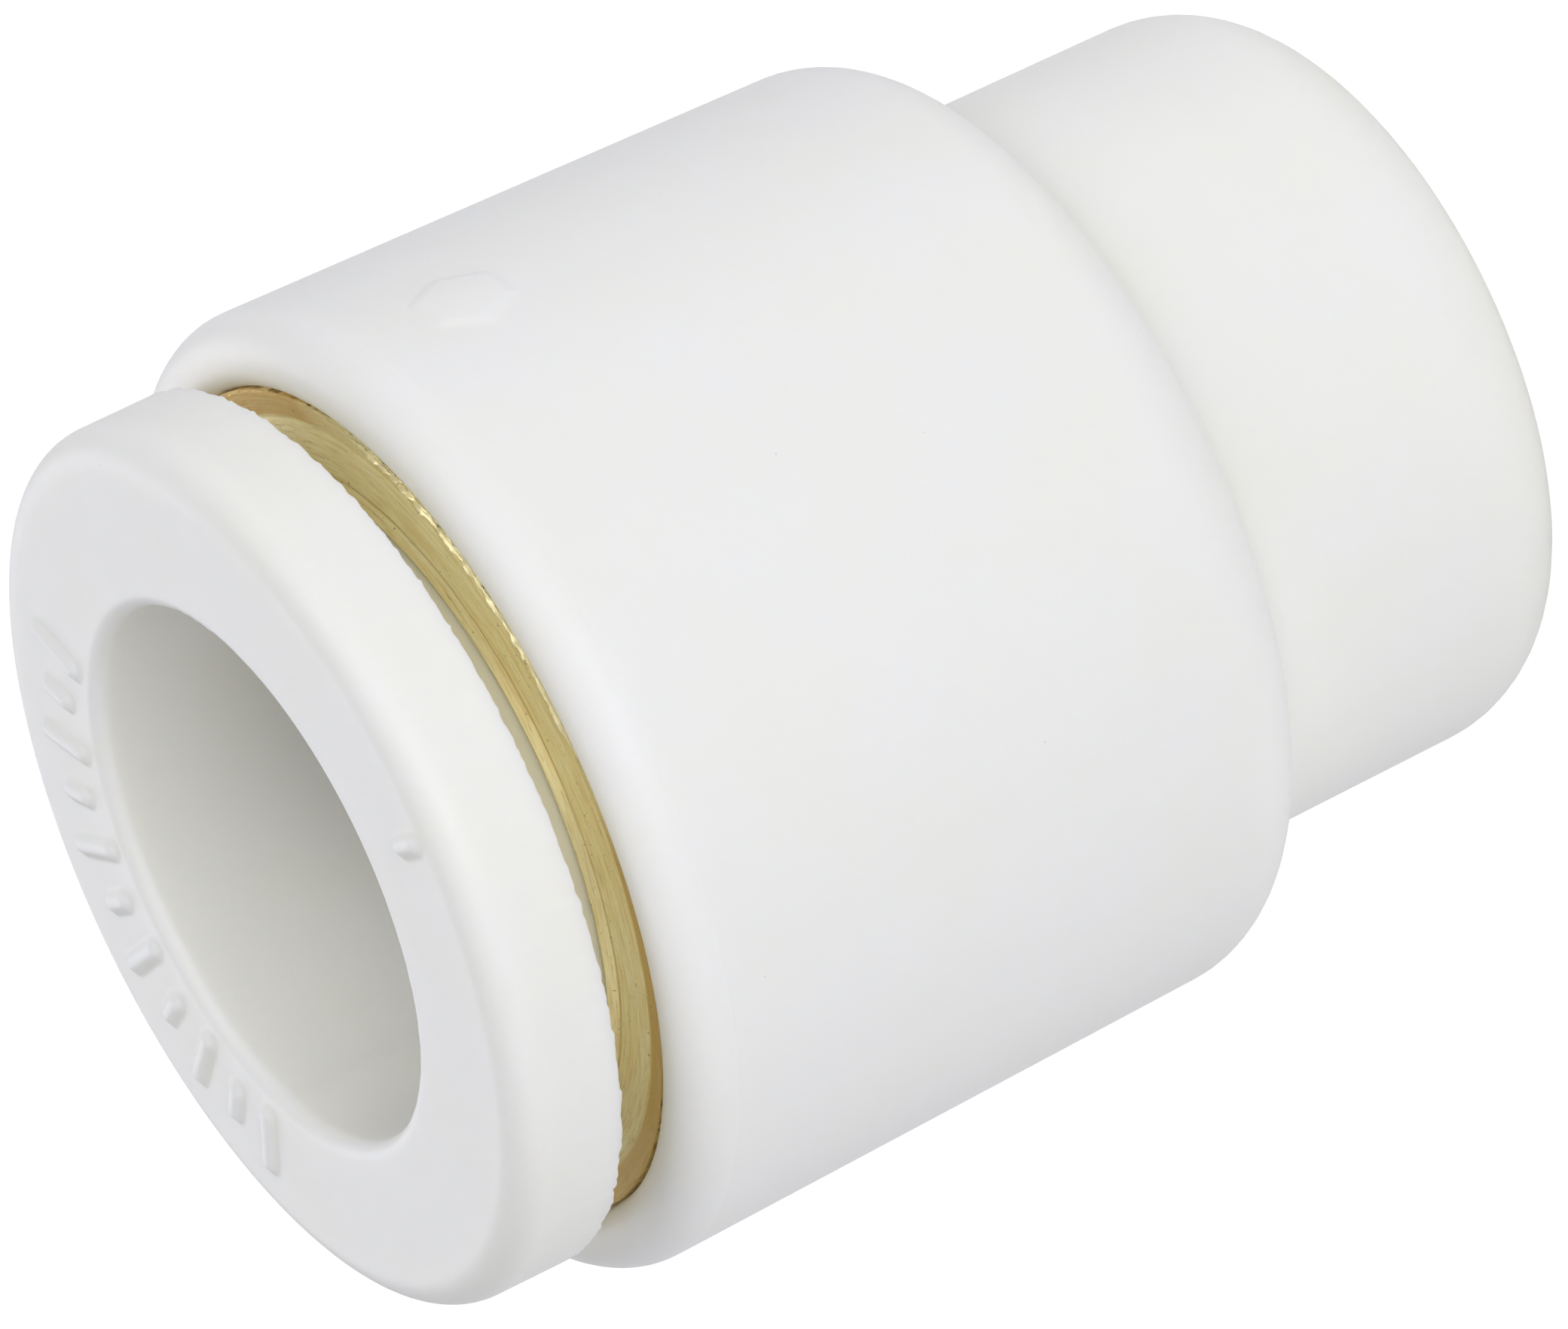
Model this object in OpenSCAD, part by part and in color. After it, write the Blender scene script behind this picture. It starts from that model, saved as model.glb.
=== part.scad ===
// Closed-end push-to-connect fitting (a tube cap) for 10 mm tube.
// It stands on its closed end at z = 0, with the port axis along +Z, and is turned about that axis.
// Each section below is drawn as points [radius, height] and swept round the axis.

/* [Body] */
// Diameter of the barrel just behind its front edge
body_d = 18.5; // [18.4:0.1:19.5]
// Diameter of the barrel just above its shoulder
barrel_foot_d = 17.76; // [17.6:0.02:18.4]
// Diameter of the tail just below the shoulder
tail_top_d = 14.26; // [14.1:0.02:14.6]
// Diameter of the tail just above its rounded end
tail_foot_d = 14.1; // [13.9:0.02:14.1]
// Height of the front face of the body
body_h = 20.83; // [20.8:0.01:21]
// Height of the shoulder between tail and barrel
shoulder_z = 7.22; // [6.8:0.01:7.6]
// Edge radius at the front of the barrel
face_edge_r = 0.81; // [0.5:0.01:0.9]
// Edge radius of the shoulder
shoulder_r = 1.57; // [1:0.01:1.6]
// Edge radius of the closed end
end_r = 2.1; // [1.5:0.05:2.4]

/* [Inside of the body] */
// Diameter of the socket that takes the end of the tube
socket_d = 10.16; // [10.1:0.01:10.3]
// Height at which the end of the tube stops
tube_stop_z = 3; // [2:0.1:4]
// Height of the floor of the seal chamber
seal_z = 9; // [8.8:0.1:9.2]
// Diameter of the seal chamber
seal_d = 14.3; // [14.1:0.1:14.5]
// Height of the step that carries the spacer
spacer_z = 12.2; // [12.1:0.05:12.3]
// Diameter of the chamber that takes the spacer and the guide ring
chamber_d = 15.1; // [15:0.02:15.2]

/* [Release bushing] */
// Diameter of the flange that a finger presses
flange_d = 16.9; // [16:0.1:17.5]
// Thickness of the flange
flange_t = 2.15; // [1.8:0.05:2.3]
// Gap between flange and body before the bushing is pressed
press_gap = 1.02; // [1:0.01:1.1]
// Edge radius at the front of the flange
flange_edge_r = 0.66; // [0.3:0.01:0.8]
// Diameter of the bore that guides the tube
bushing_bore_d = 10.3; // [10.2:0.05:10.4]
// Edge radius at the mouth of that bore
bore_lip_r = 0.3; // [0.1:0.05:0.5]
// Diameter of the shank, which slides in the guide ring
shank_d = 12.6; // [12.5:0.05:12.65]

/* [Guide ring] */
// Diameter of the rim, which shows in the mouth of the body
rim_d = 15.86; // [15.6:0.02:16]
// Distance from the front face of the body down to the rim
rim_sink = 0.15; // [0:0.05:0.3]
// Height of the rim
rim_h = 1.3; // [1:0.1:1.5]
// Diameter of the bore that the shank slides in
ring_bore_d = 12.7; // [12.7:0.02:12.8]
// Number of biting teeth round the outside
bite_teeth = 4; // [2:1:6]

/* [Grip] */
// Number of fingers of the collet
finger_count = 6; // [4:1:8]
// Width of the slots between the fingers
finger_slot = 0.8; // [0.5:0.1:1.2]
// Number of petals of the chuck
petal_count = 12; // [8:1:16]
// Width of the slots between the petals
petal_slot = 0.35; // [0.2:0.05:0.5]
// Diameter of the circle through the tips of the petals
petal_tip_d = 9.7; // [9.66:0.02:9.8]

/* [Marks] */
// Number of raised ticks on the flange
tick_count = 11; // [5:1:15]
// Angle that the ticks span
tick_span = 96; // [60:1:120]
// Width of each tick
tick_w = 0.34; // [0.2:0.02:0.5]
// Height that the ticks and the lozenge stand proud
mark_proud = 0.14; // [0.1:0.02:0.2]

/* [Hidden] */
$fn = 96;

arc_steps = 10;
lap = 0.2;

foot_fillet_r = 0.16;
mouth_edge_r = 0.4;
socket_lead = 0.4;

spacer_h = 1.2;
spacer_bore_d = 10.6;
spacer_slack = 0.05;
ring_z = spacer_z + spacer_h;
rim_top_z = body_h - rim_sink;

grip_gap = 0.1;
collet_z = ring_z + grip_gap;
collet_base_h = 1.2;
collet_h = 3.2;
collet_foot_r = 6.95;
collet_tip_r = 6.65;
collet_bore_r = 5.45;
finger_bore_r = 6.2;
ledge_z = collet_z + collet_base_h;
ledge_bevel = 0.4;
catch_h = 0.2;
catch_in = 0.08;

sheet_t = 0.25;
petal_bend_r = 5.6;
petal_drop = 0.8;

cone_foot_r = 7.1;
cone_top_r = 6.8;
cone_z = 14.9;
cone_h = 2.4;
ring_shoulder_z = 19.2;

flange_z = body_h + press_gap;
top_z = flange_z + flange_t;
barb_r = 6.62;
barb_top_z = ring_shoulder_z - 0.1;
barb_h = 0.55;
nose_r = 5.75;
nose_z = 16.2;
nose_tip_r = 5.35;
nose_neck_r = 5.42;

// Points along an arc about [r, z] from angle a0 to angle a1
function arc(r, z, radius, a0, a1) =
    [for (i = [0:arc_steps])
        let (a = a0 + (a1 - a0) * i / arc_steps)
        [r + radius * cos(a), z + radius * sin(a)]];

// Ring cut by evenly spaced radial slots of width w, which reach out to a radius
module slotted(count, w, reach_r, z, h) {
    difference() {
        children();
        for (i = [0:count - 1])
            rotate([0, 0, 360 * i / count])
                translate([0, -w / 2, z])
                    cube([reach_r, w, h]);
    }
}

// Raised lozenge on the barrel: a flat six-sided pad that stands a little proud
module lozenge() {
    lozenge_z = 17.8;
    half_w = 0.95;
    half_h = 0.78;
    barrel_r = barrel_foot_d / 2 + (body_d - barrel_foot_d) / 2
        * (lozenge_z - shoulder_z) / (body_h - shoulder_z);
    rotate([0, 0, -35])
        intersection() {
            translate([0, 0, lozenge_z])
                rotate([90, 0, 90])
                    linear_extrude(body_d)
                        polygon([
                            [-half_w, 0], [-half_w / 2, -half_h], [half_w / 2, -half_h],
                            [half_w, 0], [half_w / 2, half_h], [-half_w / 2, half_h]
                        ]);
            translate([0, 0, lozenge_z - half_h])
                difference() {
                    cylinder(r = barrel_r + mark_proud, h = 2 * half_h);
                    translate([0, 0, -lap])
                        cylinder(r = barrel_r - lap, h = 2 * (half_h + lap));
                }
        }
}

module body() {
    color("whitesmoke") {
        rotate_extrude()
            polygon(concat(
                [[0, 0]],
                arc(tail_foot_d / 2 - end_r, end_r, end_r, -90, 0),
                arc(tail_top_d / 2 + foot_fillet_r, shoulder_z - foot_fillet_r, foot_fillet_r, 180, 90),
                arc(barrel_foot_d / 2 - shoulder_r, shoulder_z + shoulder_r, shoulder_r, -90, 0),
                arc(body_d / 2 - face_edge_r, body_h - face_edge_r, face_edge_r, 0, 90),
                arc(rim_d / 2 + mouth_edge_r, body_h - mouth_edge_r, mouth_edge_r, 90, 180),
                [
                    [rim_d / 2, rim_top_z - rim_h], [chamber_d / 2, rim_top_z - rim_h],
                    [chamber_d / 2, spacer_z], [seal_d / 2, spacer_z],
                    [seal_d / 2, seal_z], [socket_d / 2 + socket_lead, seal_z],
                    [socket_d / 2, seal_z - socket_lead], [socket_d / 2, tube_stop_z],
                    [0, tube_stop_z]
                ]
            ));
        lozenge();
    }
}

// Rubber lip seal: its two lips open toward the closed end, so that pressure spreads them
module tube_seal() {
    lip_r = 4.88;
    heel_r = 5.25;
    heel_z = spacer_z - 1;
    groove_z = seal_z + 1.6;
    color([0.13, 0.13, 0.13])
        rotate_extrude()
            polygon([
                [heel_r, spacer_z], [heel_r, heel_z], [lip_r, seal_z + 0.75],
                [lip_r, seal_z + 0.45], [lip_r + 0.4, seal_z + 0.15], [6.05, groove_z],
                [6.4, groove_z], [6.8, seal_z], [seal_d / 2 - 0.1, seal_z],
                [seal_d / 2, seal_z + 0.3], [seal_d / 2, spacer_z]
            ]);
}

// Flat ring that backs the seal and carries the guide ring
module seal_spacer() {
    bevel = 0.25;
    outer_r = chamber_d / 2 - spacer_slack;
    color("gainsboro")
        rotate_extrude()
            polygon([
                [spacer_bore_d / 2, spacer_z], [outer_r, spacer_z], [outer_r, ring_z],
                [spacer_bore_d / 2 + bevel, ring_z], [spacer_bore_d / 2, ring_z - bevel]
            ]);
}

// Turned brass ring pressed into the mouth: a dished rim, a low collar round the bore for the shank,
// a pocket for the barb and the cone that closes the collet
module guide_ring() {
    wall_r = chamber_d / 2;
    bite_z = ring_z + 0.6;
    bite_pitch = 0.9;
    bite_depth = 0.2;
    lip_w = 0.06;
    dish_r = 7.33;
    dish_sink = 0.16;
    face_sink = 0.09;
    collar_r = 6.5;
    collar_h = 0.07;
    collar_slope = 0.1;
    color("#b9a564")
        rotate_extrude()
            polygon(concat(
                [[cone_foot_r, ring_z], [wall_r, ring_z]],
                [for (i = [0:bite_teeth - 1], step = [0, 1])
                    [wall_r - bite_depth * step, bite_z + bite_pitch * (i + 0.1 * step)]],
                [
                    [wall_r, bite_z + bite_pitch * bite_teeth], [wall_r, rim_top_z - rim_h],
                    [rim_d / 2, rim_top_z - rim_h], [rim_d / 2, rim_top_z],
                    [rim_d / 2 - lip_w, rim_top_z], [dish_r, rim_top_z - dish_sink],
                    [collar_r, rim_top_z - face_sink],
                    [collar_r - collar_slope, rim_top_z + collar_h],
                    [ring_bore_d / 2, rim_top_z + collar_h],
                    [ring_bore_d / 2, ring_shoulder_z], [cone_top_r, ring_shoulder_z],
                    [cone_top_r, cone_z + cone_h], [cone_foot_r, cone_z]
                ]
            ));
}

// Collet: a base ring with fingers, which the cone of the guide ring presses on the chuck
module collet() {
    catch_z = ledge_z + sheet_t + 0.05;
    color("whitesmoke")
        slotted(finger_count, finger_slot, collet_foot_r + lap, ledge_z - 0.3, collet_h)
            rotate_extrude()
                polygon([
                    [collet_bore_r, collet_z], [collet_foot_r, collet_z],
                    [collet_foot_r, ledge_z], [collet_tip_r, collet_z + collet_h],
                    [finger_bore_r, collet_z + collet_h], [finger_bore_r, catch_z + catch_h],
                    [finger_bore_r - catch_in, catch_z + catch_h / 2], [finger_bore_r, catch_z],
                    [finger_bore_r, ledge_z], [collet_bore_r + ledge_bevel, ledge_z],
                    [collet_bore_r, ledge_z - ledge_bevel]
                ]);
}

// Chuck: a pressed steel ring whose bent petals bite the tube when it is pulled
module chuck() {
    rim_r = finger_bore_r - 0.02;
    under_in = 0.12;
    tip_z = ledge_z + sheet_t - petal_drop;
    color("silver")
        slotted(petal_count, petal_slot, petal_bend_r + under_in, tip_z - 2 * sheet_t, 3 * petal_drop)
            rotate_extrude()
                polygon([
                    [rim_r, ledge_z], [rim_r, ledge_z + sheet_t],
                    [petal_bend_r, ledge_z + sheet_t], [petal_tip_d / 2, tip_z],
                    [petal_tip_d / 2 + under_in, tip_z - sheet_t],
                    [petal_bend_r + under_in, ledge_z]
                ]);
}

// Raised tick on the front of the flange, centred at radius r and pointing at the axis
module tick(angle, r, length) {
    rotate([0, 0, angle])
        translate([r - length / 2, -tick_w / 2, top_z - lap])
            cube([length, tick_w, lap + mark_proud]);
}

// Raised ticks along an arc of the flange, long and short by turns, and one across from them
module flange_marks() {
    row_r = 6.42;
    long = 1.5;
    short = 0.9;
    row_start = 84 - tick_span / 2;
    for (i = [0:tick_count - 1])
        tick(row_start + tick_span * i / (tick_count - 1), row_r, i % 2 == 0 ? long : short);
    tick(-95, 7.3, short);
}

// Release bushing: the flange, the shank with its barb and the nose that spreads the petals
module release_bushing() {
    bore_r = bushing_bore_d / 2;
    color("whitesmoke") {
        rotate_extrude()
            polygon(concat(
                [
                    [bore_r, nose_z], [nose_tip_r, nose_z], [nose_neck_r, nose_z + 1],
                    [nose_r, nose_z + 1.6], [nose_r, barb_top_z - barb_h - 0.25],
                    [barb_r, barb_top_z - barb_h], [barb_r, barb_top_z],
                    [shank_d / 2, barb_top_z], [shank_d / 2, flange_z], [flange_d / 2, flange_z]
                ],
                arc(flange_d / 2 - flange_edge_r, top_z - flange_edge_r, flange_edge_r, 0, 90),
                arc(bore_r + bore_lip_r, top_z - bore_lip_r, bore_lip_r, 90, 180)
            ));
        flange_marks();
    }
}

body();
tube_seal();
seal_spacer();
guide_ring();
collet();
chuck();
release_bushing();
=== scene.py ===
"""Looks for a closed-end push-to-connect fitting, a cap for 10 mm tube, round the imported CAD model.

Every round piece is a lathed outline: a few corners (radius, height, fillet) in millimetres, with the
fillets drawn as arcs. Moulded marks, flash and burrs are worked into the meshes as geometry.
"""
from math import asin, atan2, ceil, cos, pi, radians, sin, tan

import bmesh
import bpy
import numpy as np
from mathutils import Matrix, Vector


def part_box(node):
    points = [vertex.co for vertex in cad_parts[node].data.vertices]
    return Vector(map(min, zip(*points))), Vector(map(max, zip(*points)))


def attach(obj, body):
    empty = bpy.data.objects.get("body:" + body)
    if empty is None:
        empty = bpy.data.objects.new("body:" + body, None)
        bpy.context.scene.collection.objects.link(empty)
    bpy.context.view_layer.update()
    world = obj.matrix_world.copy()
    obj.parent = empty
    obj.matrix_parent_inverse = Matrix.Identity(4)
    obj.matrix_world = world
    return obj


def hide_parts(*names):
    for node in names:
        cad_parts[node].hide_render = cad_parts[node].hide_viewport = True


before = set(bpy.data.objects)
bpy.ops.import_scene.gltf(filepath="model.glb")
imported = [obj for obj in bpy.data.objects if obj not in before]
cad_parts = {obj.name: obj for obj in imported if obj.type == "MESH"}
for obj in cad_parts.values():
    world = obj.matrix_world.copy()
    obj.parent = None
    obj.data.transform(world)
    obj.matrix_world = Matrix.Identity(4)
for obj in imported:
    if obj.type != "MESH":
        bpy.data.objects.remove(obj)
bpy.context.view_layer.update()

MM = 0.001
ARC_STEP = radians(7)
SHARP = radians(32)


def span(node):
    """(largest radius, lowest height, highest height) of a CAD node, in millimetres"""
    low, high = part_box(node)
    return high.y / MM, low.z / MM, high.z / MM


# Sizes that the CAD model gives, in millimetres
BODY_R, _, BODY_H = span("body")
RIM_R, RING_Z, COLLAR_TOP = span("guide_ring")
FLANGE_R, NOSE_Z, MARK_TOP = span("release_bushing")
SPACER_R, SPACER_Z, _ = span("seal_spacer")
SEAL_R, SEAL_Z, _ = span("tube_seal")
COLLET_R, COLLET_Z, FINGER_TOP = span("collet")
CHUCK_R, CHUCK_TIP_Z, CHUCK_TOP = span("chuck")

# Sizes inside those outlines, which the CAD model's source states too
MARK_PROUD = 0.14
TOP_Z = MARK_TOP - MARK_PROUD
FLANGE_Z = TOP_Z - 2.15
BARREL_FOOT_R = 8.88
SHOULDER_Z = 7.22
TAIL_TOP_R = 7.13
TAIL_FOOT_R = 7.05
SOCKET_R = 5.08
TUBE_STOP_Z = 3.0
CHAMBER_R = 7.55
COLLAR_H = 0.07
COLLAR_R = 6.5
RIM_TOP = COLLAR_TOP - COLLAR_H
RIM_H = 1.3
DISH_R = 7.33
BORE_R = 5.15
SHANK_R = 6.3
RING_BORE_R = 6.35
RING_SHOULDER_Z = 19.2
BARB_R = 6.62

# Light a little cooler than the plastic, as a camera balances it, so that the lit plastic looks white
DAYLIGHT = (0.995, 1.0, 1.11)
# Brightness of what the camera sees behind the part, just over white
BURNT_OUT = 1.05


# ---------------------------------------------------------------- meshes

def rounded(corners):
    """Closed outline through corners (radius, height, fillet), each fillet an arc"""
    outline = []
    for i, (r, z, fillet) in enumerate(corners):
        here = Vector((r, z))
        if not fillet:
            outline.append(here)
            continue
        back = (Vector(corners[i - 1][:2]) - here).normalized()
        ahead = (Vector(corners[(i + 1) % len(corners)][:2]) - here).normalized()
        half = back.angle(ahead) / 2
        centre = here + (back + ahead).normalized() * fillet / sin(half)
        start = here + back * fillet / tan(half) - centre
        end = here + ahead * fillet / tan(half) - centre
        first = atan2(start.y, start.x)
        sweep = (atan2(end.y, end.x) - first + pi) % (2 * pi) - pi
        steps = max(3, ceil(abs(sweep) / ARC_STEP))
        for k in range(steps + 1):
            angle = first + sweep * k / steps
            outline.append(centre + fillet * Vector((cos(angle), sin(angle))))
    return np.array([tuple(p) for p in outline])


def densify(outline, pitch, wanted):
    """The outline with points every pitch along the straight stretches whose ends satisfy wanted"""
    dense = []
    for p, q in zip(outline, np.roll(outline, -1, axis=0)):
        dense.append(p)
        count = int(np.linalg.norm(q - p) / pitch)
        if wanted(p, q) and count > 1:
            dense += [p + (q - p) * k / count for k in range(1, count)]
    return np.array(dense)


def lathe(name, outline, angles, shape=None):
    """Mesh object swept from a closed outline, drawn counter-clockwise, over angles in radians.
    shape(angle index, outline copy) may move the points of one column."""
    columns = []
    for i in range(len(angles)):
        section = outline.copy()
        columns.append(section if shape is None else shape(i, section))
    on_axis = outline[:, 0] == 0
    mesh = bmesh.new()
    rings = []
    for j in range(len(outline)):
        if on_axis[j]:
            rings.append([mesh.verts.new((0, 0, outline[j][1] * MM))] * len(angles))
            continue
        rings.append([
            mesh.verts.new((c[j][0] * cos(a) * MM, c[j][0] * sin(a) * MM, c[j][1] * MM))
            for a, c in zip(angles, columns)
        ])
    for j in range(len(outline)):
        k = (j + 1) % len(outline)
        if on_axis[j] and on_axis[k]:
            continue
        for i in range(len(angles)):
            n = (i + 1) % len(angles)
            loop = [rings[j][i], rings[j][n], rings[k][n], rings[k][i]]
            corners = [v for m, v in enumerate(loop) if v is not loop[m - 1]]
            mesh.faces.new(corners).smooth = True
    for edge in mesh.edges:
        edge.smooth = edge.calc_face_angle(0) < SHARP
    data = bpy.data.meshes.new(name)
    mesh.to_mesh(data)
    mesh.free()
    piece = bpy.data.objects.new(name, data)
    bpy.context.scene.collection.objects.link(piece)
    return piece


def turn(count):
    """count angles, evenly spaced round a full turn"""
    return np.arange(count) * 2 * pi / count


def smoothstep(low, high, x):
    """0 below low, 1 above high and a smooth ramp between"""
    t = np.clip((x - low) / (high - low), 0, 1)
    return t * t * (3 - 2 * t)


def wander(seed, count, period):
    """Smooth random values round a closed ring, between -1 and 1, that change every period places"""
    knots = np.random.default_rng(seed).uniform(-1, 1, max(4, count // period))
    places = np.arange(count) * len(knots) / count
    low = places.astype(int)
    t = smoothstep(0, 1, places - low)
    return knots[low] * (1 - t) + knots[(low + 1) % len(knots)] * t


def gap(angle, other):
    """Signed difference of two angles in radians, the short way round"""
    return (angle - other + pi) % (2 * pi) - pi


# ---------------------------------------------------------------- pieces

def make_body():
    """White shell: rounded closed tail, shoulder, slightly tapered barrel with a raised lozenge"""
    segments = 720
    witness_z, witness_half, witness_depth = BODY_H - 0.92, 0.03, 0.007
    lozenge_z, lozenge_angle = 17.8, radians(-35)
    half_w, half_h, soft = 0.95, 0.78, 0.2
    side_slope, side_cosine = half_w / 2 / half_h, 0.85
    pad, crown = 0.5, 0.25
    taper = (BODY_R - BARREL_FOOT_R) / (BODY_H - SHOULDER_Z)
    witness_r = BARREL_FOOT_R + taper * (witness_z - SHOULDER_Z)
    corners = [
        (0, 0, 0), (TAIL_FOOT_R, 0, 2.1), (TAIL_TOP_R, SHOULDER_Z, 0.16),
        (BARREL_FOOT_R, SHOULDER_Z, 1.57), (witness_r, witness_z - witness_half, 0),
        (witness_r - witness_depth, witness_z, 0), (witness_r, witness_z + witness_half, 0),
        (BODY_R, BODY_H, 0.81), (RIM_R, BODY_H, 0.4), (RIM_R, RIM_TOP - RIM_H, 0),
        (CHAMBER_R, RIM_TOP - RIM_H, 0), (CHAMBER_R, SPACER_Z, 0.05),
        (SEAL_R, SPACER_Z, 0.05), (SEAL_R, SEAL_Z, 0.1), (SOCKET_R + 0.4, SEAL_Z, 0.05),
        (SOCKET_R, SEAL_Z - 0.4, 0.1), (SOCKET_R, TUBE_STOP_Z, 0.2), (0, TUBE_STOP_Z, 0),
    ]
    outline = rounded(corners)
    outline = densify(outline, 0.09, lambda p, q: min(p[0], q[0]) > BARREL_FOOT_R - 0.1)
    angles = turn(segments)
    near = (np.abs(outline[:, 1] - lozenge_z) < half_h + soft) & (outline[:, 0] > BARREL_FOOT_R)

    def shape(i, section):
        across = abs(gap(angles[i], lozenge_angle)) * BODY_R
        if across < half_w + soft:
            up = np.abs(section[near, 1] - lozenge_z)
            inside = np.minimum(half_h - up, (half_w - across - up * side_slope) * side_cosine)
            height = pad * smoothstep(-soft / 2, soft / 2, inside) + crown * smoothstep(0, half_h, inside)
            section[near, 0] += MARK_PROUD * height
        return section

    return lathe("body_shell", outline, angles, shape)


def tick_height(x, y, length, width, soft):
    """How far a raised tick with round ends and soft sides stands up, 0 to 1, at x along and y across"""
    distance = np.hypot(np.maximum(np.abs(x) - (length - width) / 2, 0), y) - width / 2
    return 1 - smoothstep(-soft, soft, distance)


def make_bushing():
    """Release bushing: flange with moulded ticks and a ragged back edge, shank, barb and nose"""
    segments = 960
    tick_count, tick_span, row_angle, row_r = 11, radians(96), radians(84), 6.42
    long, short, tick_w, tick_soft, tick_reach = 1.5, 0.9, 0.34, 0.13, radians(8)
    across_angle, across_r = radians(-95), 7.3
    edge, lip, flash = 0.66, 0.3, 0.1
    ragged_depth, chip_depth, bore_depth = 0.012, 0.04, 0.015
    corners = [
        (BORE_R, NOSE_Z, 0.04), (5.35, NOSE_Z, 0.05), (5.42, NOSE_Z + 1, 0.5),
        (5.75, NOSE_Z + 1.6, 0.3), (5.75, 18.3, 0.1), (BARB_R, 18.55, 0.06), (BARB_R, 19.1, 0.04),
        (SHANK_R, 19.1, 0.05), (SHANK_R, FLANGE_Z, 0.12), (FLANGE_R - flash, FLANGE_Z, 0),
        (FLANGE_R, FLANGE_Z, 0.03), (FLANGE_R, FLANGE_Z + flash, 0), (FLANGE_R, TOP_Z, edge),
        (BORE_R, TOP_Z, lip), (BORE_R, TOP_Z - lip - flash, 0),
    ]
    outline = rounded(corners)
    outline = densify(outline, 0.06, lambda p, q: min(p[1], q[1]) > TOP_Z - 1e-6)
    angles = turn(segments)
    r, z = outline.T
    face = z > TOP_Z - 1e-6
    back_edge = (np.abs(z - FLANGE_Z) < flash / 2) & (r > FLANGE_R - flash / 2)
    bore_edge = (z > TOP_Z - lip - flash / 2) & (r < BORE_R + lip * 0.6)
    ticks = [(row_angle + tick_span * (k / (tick_count - 1) - 0.5), row_r, short if k % 2 else long)
             for k in range(tick_count)] + [(across_angle, across_r, short)]
    ragged = wander(11, segments, 4) + 0.8 * wander(12, segments, 2)
    chips = smoothstep(0.5, 0.9, wander(13, segments, 3))
    chips *= smoothstep(-0.2, 0.6, wander(14, segments, 60))
    bore_rag = wander(15, segments, 6) * smoothstep(-0.3, 0.5, wander(16, segments, 90))

    def shape(i, section):
        for angle, middle, length in ticks:
            turned = gap(angles[i], angle)
            if abs(turned) < tick_reach:
                along = r * cos(turned) - middle
                height = tick_height(along, r * sin(turned), length, tick_w, tick_soft)
                section[:, 1] += np.where(face, MARK_PROUD * height, 0)
        section[back_edge, 0] += ragged_depth * ragged[i]
        section[back_edge, 1] -= ragged_depth * ragged[i] + chip_depth * chips[i]
        section[bore_edge, 0] -= bore_depth * bore_rag[i]
        return section

    return lathe("release_button", outline, angles, shape)


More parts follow.
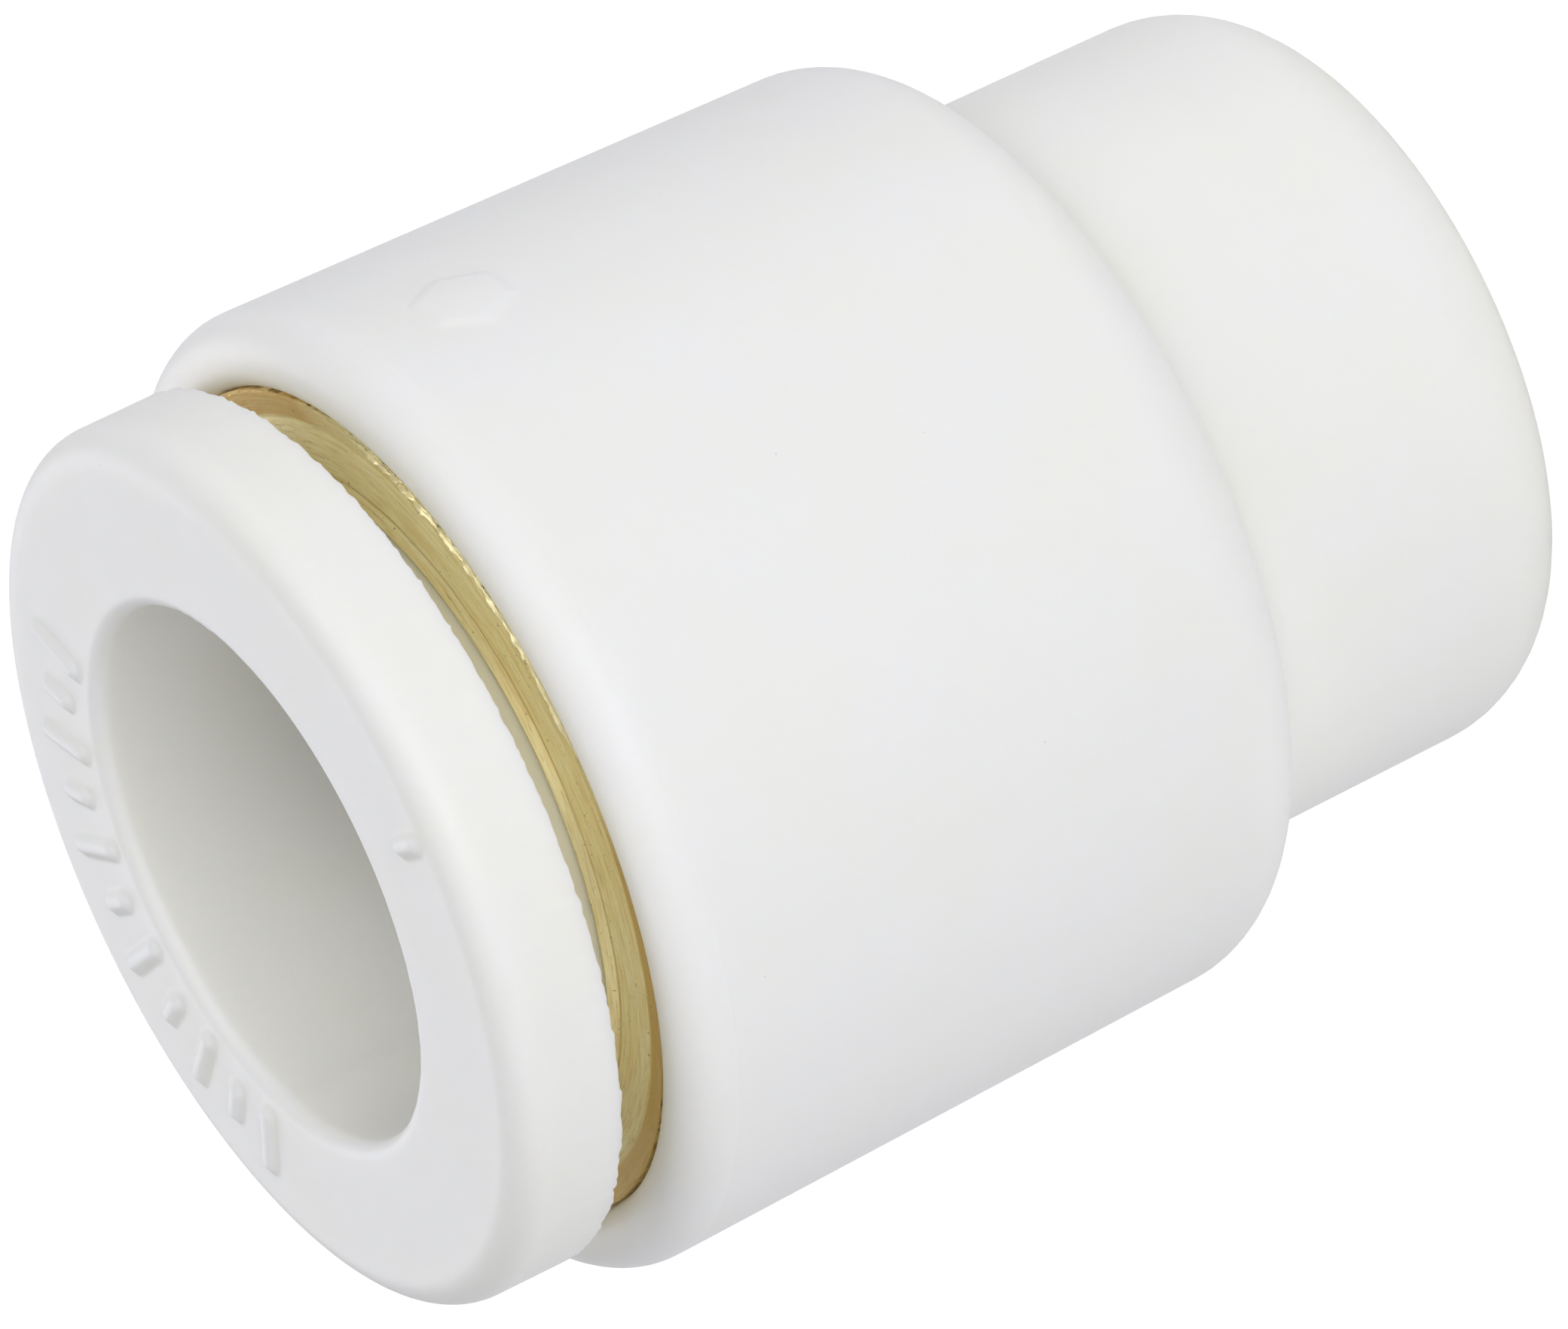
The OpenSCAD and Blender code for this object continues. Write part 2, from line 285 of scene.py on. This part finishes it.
def make_guide_ring():
    """Brass ring: biting teeth outside, cone, pocket and bore inside, a dished front with a torn lip"""
    segments = 960
    cone_foot_r, cone_top_r, cone_z, cone_h = 7.1, 6.8, 14.9, 2.4
    lip_w, dish_sink, face_sink, collar_slope = 0.06, 0.16, 0.09, 0.1
    groove_w, groove_depth, turning_depth = 0.03, 0.02, 0.005
    tooth_z, tooth_pitch, tooth_depth, teeth = RING_Z + 0.6, 0.9, 0.2, 4
    torn_angle, torn_spread = radians(-66), radians(38)
    tear_up, tear_out, burr_out = 0.012, 0.008, 0.025
    ridge_r, ridge_w, ridge_h = 7.79, 0.06, 0.12
    bites = [(CHAMBER_R - tooth_depth * step, tooth_z + tooth_pitch * (k + 0.1 * step), 0)
             for k in range(teeth) for step in (0, 1)]
    dish_z = RIM_TOP - dish_sink
    corners = [
        (cone_foot_r, RING_Z, 0.05), (CHAMBER_R, RING_Z, 0.05), *bites,
        (CHAMBER_R, tooth_z + tooth_pitch * teeth, 0), (CHAMBER_R, RIM_TOP - RIM_H, 0),
        (RIM_R, RIM_TOP - RIM_H, 0.04), (RIM_R, RIM_TOP, 0.02), (RIM_R - lip_w, RIM_TOP, 0.02),
        (DISH_R + groove_w, dish_z, 0), (DISH_R, dish_z - groove_depth, 0),
        (DISH_R - groove_w, dish_z, 0), (COLLAR_R, RIM_TOP - face_sink, 0.05),
        (COLLAR_R - collar_slope, COLLAR_TOP, 0.015), (RING_BORE_R, COLLAR_TOP, 0.015),
        (RING_BORE_R, RING_SHOULDER_Z, 0.03),
        (cone_top_r, RING_SHOULDER_Z, 0.1), (cone_top_r, cone_z + cone_h, 0.3),
        (cone_foot_r, cone_z, 0.3),
    ]
    outline = rounded(corners)
    outline = densify(outline, 0.025, lambda p, q: min(p[1], q[1]) > dish_z - 2 * groove_depth)
    angles = turn(segments)
    random = np.random.default_rng(21)
    r, z = outline.T
    face = (r > COLLAR_R + 0.05) & (r < RIM_R - lip_w - 0.05) & (z > dish_z - 2 * groove_depth)
    grooves = np.where(face, random.uniform(-turning_depth, turning_depth, len(outline)), 0)
    cone = (z > dish_z) & (r > DISH_R)
    torn = np.where(cone, smoothstep(DISH_R, DISH_R + 0.3, r), 0)
    tears = random.uniform(-1, 1, (2, segments, len(outline)))
    tears += 0.7 * np.roll(tears, 1, axis=1)
    burr = wander(22, segments, 5) + 0.7 * wander(23, segments, 2)
    from_torn = np.abs(gap(angles, torn_angle)) / torn_spread
    share = 0.25 + 0.75 * (1 - smoothstep(0.5, 1.1, from_torn))
    lip = (z > RIM_TOP - 0.05) & (r > RIM_R - lip_w - 0.03)
    ridge = ridge_h * np.where(cone, np.clip(1 - np.abs(r - ridge_r) / ridge_w, 0, 1), 0)

    def shape(i, section):
        section[:, 1] += grooves + tear_up * torn * tears[0, i] * share[i]
        section[:, 0] += tear_out * torn * tears[1, i] * share[i]
        section[lip, 0] += burr_out * burr[i] * share[i]
        section[:, 1] += ridge * share[i] ** 3 * (0.85 + 0.3 * burr[i])
        return section

    return lathe("guide_ring_turned", outline, angles, shape)


def make_spacer():
    """Plastic ring that backs the seal"""
    inner = 5.3
    corners = [
        (inner, SPACER_Z, 0.06), (SPACER_R, SPACER_Z, 0.06), (SPACER_R, RING_Z, 0.06),
        (inner + 0.25, RING_Z, 0.05), (inner, RING_Z - 0.25, 0.05),
    ]
    return lathe("seal_spacer_ring", rounded(corners), turn(192))


def make_seal():
    """Rubber seal with two lips that open toward the closed end"""
    lip_r, heel_r = 4.88, 5.25
    corners = [
        (heel_r, SPACER_Z, 0.08), (heel_r, SPACER_Z - 1, 0.5), (lip_r, SEAL_Z + 0.75, 0.08),
        (lip_r, SEAL_Z + 0.45, 0.06), (lip_r + 0.4, SEAL_Z + 0.15, 0.08), (6.05, SEAL_Z + 1.6, 0.15),
        (6.4, SEAL_Z + 1.6, 0.15), (6.8, SEAL_Z, 0.06), (SEAL_R - 0.1, SEAL_Z, 0.04),
        (SEAL_R, SEAL_Z + 0.3, 0.1), (SEAL_R, SPACER_Z, 0.05),
    ]
    return lathe("lip_seal", rounded(corners), turn(192))


def slotted_angles(count, reach_r, width, per_tooth):
    """Angles for a ring with count slots, and for each whether it lies in a slot.
    Each slot's edge has two angles a hair apart, so its side walls stand upright."""
    half = asin(width / 2 / reach_r)
    hair = 1e-5
    angles, in_slot = [], []
    for k in range(count):
        middle = 2 * pi * k / count
        for turned in np.linspace(-half + hair, half - hair, 5):
            angles.append(middle + turned)
            in_slot.append(True)
        for turned in np.linspace(half + hair, 2 * pi / count - half - hair, per_tooth):
            angles.append(middle + turned)
            in_slot.append(False)
    return np.array(angles), in_slot


def make_collet():
    """Plastic collet: base ring and six fingers with a bore, an outer cone and a catch for the chuck"""
    bore_r, finger_r, tip_r = 5.45, 6.2, 6.65
    ledge_z, bevel = COLLET_Z + 1.2, 0.4
    slot_floor = ledge_z - 0.3
    catch_z = ledge_z + 0.3
    corners = [
        (bore_r, COLLET_Z, 0.06), (COLLET_R, COLLET_Z, 0.08), (COLLET_R, ledge_z, 0.3),
        (tip_r, FINGER_TOP, 0.08), (finger_r, FINGER_TOP, 0.08), (finger_r, catch_z + 0.2, 0),
        (finger_r - 0.08, catch_z + 0.1, 0.04), (finger_r, catch_z, 0), (finger_r, ledge_z, 0.03),
        (bore_r + bevel, ledge_z, 0.04), (bore_r, ledge_z - bevel, 0.1),
    ]
    angles, in_slot = slotted_angles(6, finger_r, 0.8, 28)

    def shape(i, section):
        if in_slot[i]:
            section[:, 1] = np.minimum(section[:, 1], slot_floor)
        return section

    return lathe("collet_fingers", rounded(corners), angles, shape)


def make_chuck():
    """Pressed steel ring with twelve petals bent down and in, each with a sharp biting tip"""
    rim_z = CHUCK_TOP - 0.25
    tip_r, bend_r, slot_end = 4.85, 5.6, 5.72
    corners = [
        (CHUCK_R, rim_z, 0.03), (CHUCK_R, CHUCK_TOP, 0.03), (bend_r, CHUCK_TOP, 0.1),
        (tip_r, CHUCK_TOP - 0.8, 0), (tip_r + 0.12, CHUCK_TIP_Z, 0.02), (bend_r + 0.12, rim_z, 0.1),
    ]
    angles, in_slot = slotted_angles(12, tip_r + 0.3, 0.35, 14)

    def shape(i, section):
        if in_slot[i]:
            inner = section[:, 0] < slot_end
            section[inner, 0] = slot_end
            section[inner, 1] = np.clip(section[inner, 1], rim_z, CHUCK_TOP)
        return section

    return lathe("chuck_petals", rounded(corners), angles, shape)


# ---------------------------------------------------------------- materials

class Shader:
    """A material's node tree, with short calls to add and link nodes"""

    def __init__(self, name):
        self.material = bpy.data.materials.new(name)
        self.material.use_nodes = True
        self.tree = self.material.node_tree
        self.bsdf = self.tree.nodes["Principled BSDF"]
        self.place = self.add("ShaderNodeTexCoord").outputs["Object"]

    def add(self, kind, inputs=(), **settings):
        """New node with its settings, and with its inputs set to numbers or linked to sockets"""
        node = self.tree.nodes.new(kind)
        for key, value in settings.items():
            setattr(node, key, value)
        for key, value in dict(inputs).items():
            self.set(node.inputs[key], value)
        return node

    def set(self, socket, value):
        if isinstance(value, bpy.types.NodeSocket):
            self.tree.links.new(value, socket)
        else:
            socket.default_value = value

    def radius(self):
        """Distance from the port axis, and the three coordinates"""
        split = self.add("ShaderNodeSeparateXYZ", {"Vector": self.place})
        x, y, z = (split.outputs[k] for k in "XYZ")
        squares = self.math("ADD", self.math("MULTIPLY", x, x), self.math("MULTIPLY", y, y))
        return self.math("SQRT", squares), x, y, z

    def noise(self, scale, detail=2.0, at=None):
        """Noise between about 0 and 1 with features 1 / scale metres across"""
        inputs = {"Vector": at or self.place, "Scale": scale, "Detail": detail}
        return self.add("ShaderNodeTexNoise", inputs).outputs["Fac"]

    def ramp(self, value, *stops):
        """Colour ramp through stops (position, colour)"""
        node = self.add("ShaderNodeValToRGB", {"Fac": value})
        elements = node.color_ramp.elements
        while len(elements) < len(stops):
            elements.new(0.5)
        for element, (position, colour) in zip(elements, stops):
            element.position = position
            element.color = (*colour, 1)
        return node.outputs["Color"]

    def range(self, value, low, high, start=0.0, end=1.0):
        """value mapped from start to end on to low to high, and held there beyond them"""
        inputs = {"Value": value, "From Min": start, "From Max": end, "To Min": low, "To Max": high}
        return self.add("ShaderNodeMapRange", inputs).outputs["Result"]

    def math(self, operation, a, b=0.0):
        return self.add("ShaderNodeMath", {0: a, 1: b}, operation=operation).outputs["Value"]

    def mix(self, factor, a, b, blend="MIX"):
        inputs = {"Factor": factor, "A": a, "B": b}
        return self.add("ShaderNodeMix", inputs, data_type="RGBA", blend_type=blend).outputs["Result"]

    def bump(self, height, distance, strength=1.0, over=None):
        inputs = {"Height": height, "Distance": distance, "Strength": strength}
        if over is not None:
            inputs["Normal"] = over
        return self.add("ShaderNodeBump", inputs).outputs["Normal"]

    def finish(self, **inputs):
        """Sets the surface's inputs, named with _ for a space, and returns the material"""
        for key, value in inputs.items():
            self.set(self.bsdf.inputs[key.replace("_", " ")], value)
        return self.material


def white_plastic(name, tone, shade, roughness, grain, brass_bounce_zone=None):
    """Moulded white plastic: faint mottling, sparse specks, fine grain, light a little way under the skin.
    The optional zone gives two radii and a height in metres: between them and below it, the colour is
    mixed towards cream, a painted reflection of light bounced off the brass."""
    bounce_cream, dirt = (1.0, 0.94, 0.70, 1), (0.45, 0.42, 0.36, 1)
    s = Shader(name)
    colour = s.ramp(s.noise(420, 3), (0.35, shade), (0.65, tone))
    if brass_bounce_zone:
        inner_r, outer_r, top = brass_bounce_zone
        radius, _, _, z = s.radius()
        outside, inside = s.math("GREATER_THAN", radius, inner_r), s.math("LESS_THAN", radius, outer_r)
        painted_bounce = s.math("MULTIPLY", s.math("MULTIPLY", outside, inside), s.math("LESS_THAN", z, top))
        # painted reflection: cream bounce light from the brass mixed into the colour within the zone
        colour = s.mix(s.math("MULTIPLY", painted_bounce, 0.85), colour, bounce_cream)
    cells = s.add("ShaderNodeTexVoronoi", {"Vector": s.place, "Scale": 2600.0})
    cell_draw = s.add("ShaderNodeSeparateColor", {"Color": cells.outputs["Color"]}).outputs[0]
    dot = s.math("LESS_THAN", cells.outputs["Distance"], 0.06)
    few = s.math("LESS_THAN", cell_draw, 0.006)
    speck = s.math("MULTIPLY", s.math("MULTIPLY", dot, few), 0.25)
    colour = s.mix(speck, colour, dirt)
    skin = s.bump(s.noise(260, 2), 0.00001, 0.6)
    skin = s.bump(s.noise(9000, 3), 0.000002, grain, skin)
    return s.finish(
        Base_Color=colour, Normal=skin,
        Roughness=s.range(s.noise(1500, 3), roughness - 0.04, roughness + 0.05),
        Subsurface_Weight=0.8, Subsurface_Radius=(1.0, 0.95, 0.88), Subsurface_Scale=0.0005,
    )


def turned_brass():
    """Turned brass: broken rings round the axis, dark scratches, pits, a torn lip painted brighter, partly
    fresh metal and partly a painted highlight, and the rest of the outer band darker, partly tarnish and
    partly painted shade
    """
    tarnish_and_painted_shade_brown, fresh_and_painted_glint, gap_shade_brown = (0.64, 0.40, 0.08, 1), (1.0, 0.91, 0.52, 1), (0.40, 0.26, 0.09, 1)
    scratch_brown, pit_brown = (0.42, 0.27, 0.08, 1), (0.30, 0.20, 0.07, 1)
    torn_turn = 1.15
    # radius and half width of a painted shade line at the foot of the collar
    gap_shade_r, gap_shade_half = (COLLAR_R + 0.03) * MM, 0.000025
    s = Shader("turned_brass")
    radius, x, y, z = s.radius()
    turned = s.math("ARCTAN2", y, x)

    def streaks(across, along, detail):
        """Noise drawn out round the axis: across per metre of radius or height, along per radian"""
        at = s.add("ShaderNodeCombineXYZ", {
            "X": s.math("MULTIPLY", radius, across), "Y": s.math("MULTIPLY", turned, along),
            "Z": s.math("MULTIPLY", z, across)})
        return s.noise(1.0, detail, at.outputs["Vector"])

    bands = streaks(7000.0, 2.5, 3)
    rings = streaks(26000.0, 9.0, 3)
    scratches = streaks(60000.0, 14.0, 2)
    yellows = (0.3, (0.945, 0.81, 0.40)), (0.5, (0.985, 0.90, 0.52)), (0.75, (1.0, 0.945, 0.61))
    colour = s.ramp(bands, *yellows)
    ring_tone = s.ramp(rings, (0.3, (0.85, 0.78, 0.61)), (0.55, (1, 1, 1)))
    colour = s.mix(0.8, colour, ring_tone, "MULTIPLY")
    outer = s.range(radius, 0.0, 1.0, (DISH_R + 0.03) * MM, (DISH_R + 0.11) * MM)
    from_torn = s.math("ABSOLUTE", s.math("ADD", turned, torn_turn))
    torn = s.math("MULTIPLY", outer, s.range(from_torn, 1.0, 0.0, 0.45, 0.75))
    # outer band outside the torn sector darker: partly tarnish, partly painted shade towards the ends of
    # the band
    tarnish_and_painted_shade = s.math("SUBTRACT", outer, torn)
    colour = s.mix(s.math("MULTIPLY", tarnish_and_painted_shade, 0.7), colour, tarnish_and_painted_shade_brown)
    # torn sector painted brighter: partly fresh brass, partly a painted highlight where the glint falls
    colour = s.mix(s.math("MULTIPLY", torn, 0.6), colour, fresh_and_painted_glint)
    # painted shade: a thin dark line at the collar's foot, standing for the shaded gap round the shank
    gap_shade_line = s.math("LESS_THAN", s.math("ABSOLUTE", s.math("SUBTRACT", radius, gap_shade_r)), gap_shade_half)
    colour = s.mix(s.math("MULTIPLY", gap_shade_line, 0.35), colour, gap_shade_brown)
    dark = s.ramp(scratches, (0.28, (1, 1, 1)), (0.36, (0, 0, 0)))
    colour = s.mix(s.math("MULTIPLY", dark, 0.55), colour, scratch_brown)
    pits = s.ramp(s.noise(9000, 2), (0.68, (0, 0, 0)), (0.74, (1, 1, 1)))
    colour = s.mix(s.math("MULTIPLY", pits, 0.6), colour, pit_brown)
    outward = s.add("ShaderNodeCombineXYZ", {"X": x, "Y": y})
    rough = s.range(s.noise(2500, 3), 0.54, 0.66)
    surface = s.bump(rings, 0.000010, 0.7)
    surface = s.bump(scratches, 0.000004, 0.6, surface)
    return s.finish(
        Base_Color=colour, Metallic=0.5, Normal=surface,
        Anisotropic=0.7, Tangent=outward.outputs["Vector"],
        Roughness=s.math("SUBTRACT", rough, s.math("MULTIPLY", torn, 0.28)),
    )


def inner_plastic():
    """Smooth natural plastic of the inner rings"""
    s = Shader("inner_plastic")
    colour = s.ramp(s.noise(600, 3), (0.3, (0.74, 0.73, 0.68)), (0.7, (0.80, 0.79, 0.75)))
    return s.finish(
        Base_Color=colour, Roughness=s.range(s.noise(2000, 2), 0.35, 0.45),
        Normal=s.bump(s.noise(5000, 3), 0.000003, 0.5),
        Subsurface_Weight=0.3, Subsurface_Radius=(1.0, 0.9, 0.7), Subsurface_Scale=0.0006,
    )


def seal_rubber():
    """Black nitrile rubber with a dry bloom"""
    s = Shader("seal_rubber")
    colour = s.ramp(s.noise(900, 4), (0.3, (0.012, 0.012, 0.013)), (0.75, (0.03, 0.03, 0.031)))
    return s.finish(
        Base_Color=colour, Roughness=s.range(s.noise(3000, 3), 0.5, 0.68),
        Normal=s.bump(s.noise(8000, 3), 0.000004, 0.6),
    )


def spring_steel():
    """Bright rolled stainless sheet with a directional grain"""
    s = Shader("spring_steel")
    stretched = s.add("ShaderNodeMapping", {"Vector": s.place, "Scale": (1500.0, 24000.0, 1500.0)})
    grain = s.noise(1.0, 4, stretched.outputs["Vector"])
    colour = s.ramp(grain, (0.3, (0.50, 0.50, 0.51)), (0.7, (0.66, 0.66, 0.67)))
    return s.finish(
        Base_Color=colour, Metallic=1.0, Roughness=s.range(grain, 0.22, 0.38),
        Normal=s.bump(grain, 0.000003, 0.5),
    )


# ---------------------------------------------------------------- stage

def aim(place, target, roll=0.0):
    """Matrix of a camera or light at place that looks at target, rolled about its line of sight"""
    turned = (Vector(target) - Vector(place)).to_track_quat("-Z", "Y").to_matrix()
    return Matrix.Translation(place) @ (turned @ Matrix.Rotation(roll, 3, "Z")).to_4x4()


def make_camera():
    """Long lens, 23 degrees above the port's plane, rolled so that the port points down and left"""
    data = bpy.data.cameras.new("camera")
    data.lens = 455
    data.sensor_width = 36
    data.clip_start = 0.01
    camera = bpy.data.objects.new("camera", data)
    target = Vector((-0.66, -4.0, 14.8)) * MM
    place = Vector((0.0, -324.4, 150.7)) * MM
    camera.matrix_world = aim(place, target, radians(-115.8))
    bpy.context.scene.collection.objects.link(camera)
    bpy.context.scene.camera = camera


def make_light(name, direction, power):
    """Round softbox in a direction from the middle of the part, facing it"""
    distance = 0.7
    data = bpy.data.lights.new(name, "AREA")
    data.shape = "DISK"
    data.size = 0.5
    data.energy = power
    data.color = DAYLIGHT
    light = bpy.data.objects.new(name, data)
    middle = Vector((0, 0, BODY_H / 2 * MM))
    light.matrix_world = aim(middle + distance * Vector(direction).normalized(), middle)
    bpy.context.scene.collection.objects.link(light)


def make_world():
    """Even pale surround, white to the camera"""
    world = bpy.data.worlds.new("surround")
    world.use_nodes = True
    tree = world.node_tree
    surround = tree.nodes["Background"]
    surround.inputs["Color"].default_value = (*DAYLIGHT, 1)
    surround.inputs["Strength"].default_value = 0.26
    bright = tree.nodes.new("ShaderNodeBackground")
    bright.inputs["Strength"].default_value = BURNT_OUT
    seen = tree.nodes.new("ShaderNodeLightPath")
    mix = tree.nodes.new("ShaderNodeMixShader")
    tree.links.new(seen.outputs["Is Camera Ray"], mix.inputs[0])
    tree.links.new(surround.outputs[0], mix.inputs[1])
    tree.links.new(bright.outputs[0], mix.inputs[2])
    tree.links.new(mix.outputs[0], tree.nodes["World Output"].inputs["Surface"])
    bpy.context.scene.world = world


def make_floor():
    """Plain white floor just under the closed end, burnt out to white as in a bright tent, and clear
    from below, so that the closed end can be seen"""
    half = 3.0
    drop = -0.05 * MM
    data = bpy.data.meshes.new("floor")
    sides = [(-half, -half), (half, -half), (half, half), (-half, half)]
    data.from_pydata([(x, y, drop) for x, y in sides], [], [(0, 1, 2, 3)])
    floor = bpy.data.objects.new("floor", data)
    bpy.context.scene.collection.objects.link(floor)
    s = Shader("white_floor")
    grey, white = (0.85, 0.85, 0.85, 1), (1, 1, 1, 1)
    paint = s.finish(Base_Color=grey, Roughness=0.9, Emission_Color=white, Emission_Strength=0.12)
    glow = s.add("ShaderNodeEmission", {"Color": white, "Strength": BURNT_OUT})
    clear = s.add("ShaderNodeBsdfTransparent")
    seen = s.add("ShaderNodeLightPath").outputs["Is Camera Ray"]
    below = s.add("ShaderNodeNewGeometry").outputs["Backfacing"]
    top = s.add("ShaderNodeMixShader", {0: seen, 1: s.bsdf.outputs[0], 2: glow.outputs[0]})
    both = s.add("ShaderNodeMixShader", {0: below, 1: top.outputs[0], 2: clear.outputs[0]})
    s.set(s.tree.nodes["Material Output"].inputs["Surface"], both.outputs[0])
    data.materials.append(paint)


def place(piece, node, body, material, slot):
    """Puts a finished piece in the place of its CAD node"""
    piece.data.materials.append(material)
    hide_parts(node)
    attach(piece, body)


make_camera()
make_world()
make_floor()
make_light("front_box", (0, -0.94, 0.34), 1.72)
make_light("high_box", (0.62, -0.42, 0.73), 1.36)
make_light("low_box", (-1, -0.2, 0.3), 0.87)
make_light("back_box", (0.2, 1, 0.48), 1.5)

white = white_plastic("white_body", (0.95, 0.938, 0.845), (0.94, 0.923, 0.82), 0.50, 0.35)
# zone on the bushing's shank where brass bounce light is painted in as cream
shank = ((SHANK_R - 0.7) * MM, (SHANK_R + 0.1) * MM, FLANGE_Z * MM)
button_white = white_plastic(
    "white_bushing", (0.945, 0.93, 0.83), (0.935, 0.915, 0.805), 0.50, 0.5, brass_bounce_zone=shank)
plastic = inner_plastic()

place(make_body(), "body", "housing", white, "white_body")
place(make_guide_ring(), "guide_ring", "housing", turned_brass(), "brass")
place(make_spacer(), "seal_spacer", "housing", plastic, "inner_plastic")
place(make_seal(), "tube_seal", "housing", seal_rubber(), "seal_rubber")
place(make_collet(), "collet", "grip", plastic, "inner_plastic")
place(make_chuck(), "chuck", "grip", spring_steel(), "spring_steel")
place(make_bushing(), "release_bushing", "bushing", button_white, "white_bushing")

bpy.context.scene.view_settings.view_transform = "Standard"
